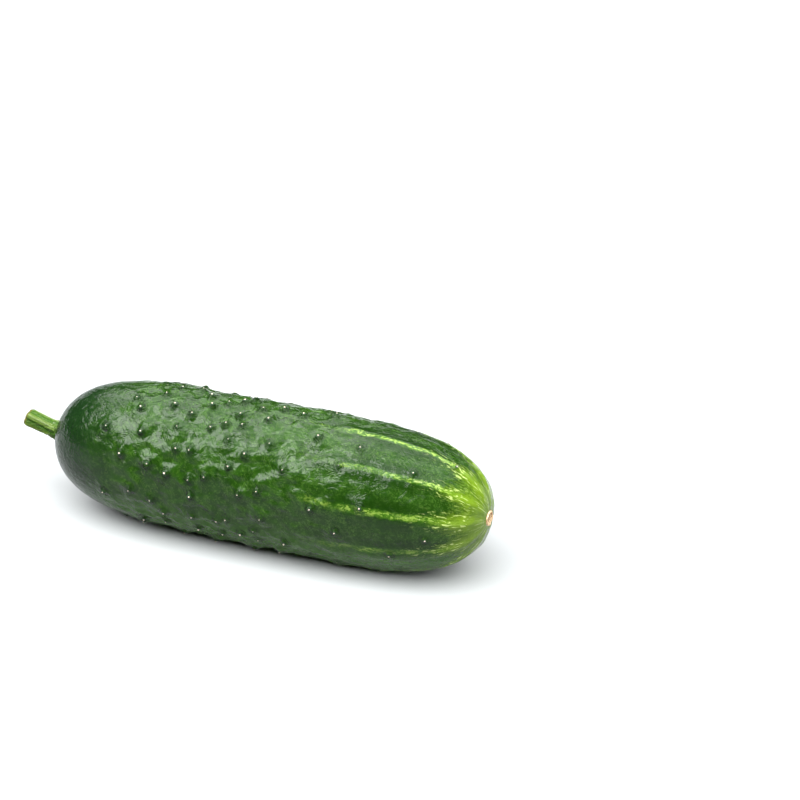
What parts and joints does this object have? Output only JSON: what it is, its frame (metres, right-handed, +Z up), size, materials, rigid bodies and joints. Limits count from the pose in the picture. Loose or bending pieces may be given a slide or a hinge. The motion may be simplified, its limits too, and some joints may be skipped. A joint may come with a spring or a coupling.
{
  "type": "cucumber",
  "caption": "Whole short pickling cucumber lying on its side, with a bumpy, finely spined skin, low ribs, a blossom scar and a stub of stem.",
  "frame": {"origin": "on the surface that the cucumber lies on, at the middle of its flat resting spot", "axes": "+X along the fruit, from the stem end to the blossom end; +Z up"},
  "size_m": [0.1416, 0.044, 0.0415],
  "materials": {
    "skin": "glossy deep green skin, yellow-green at the blossom end",
    "stem": "satin light green"
  },
  "bodies": {
    "root": {"fruit": "skin", "stem": "stem"}
  },
  "joints": []
}
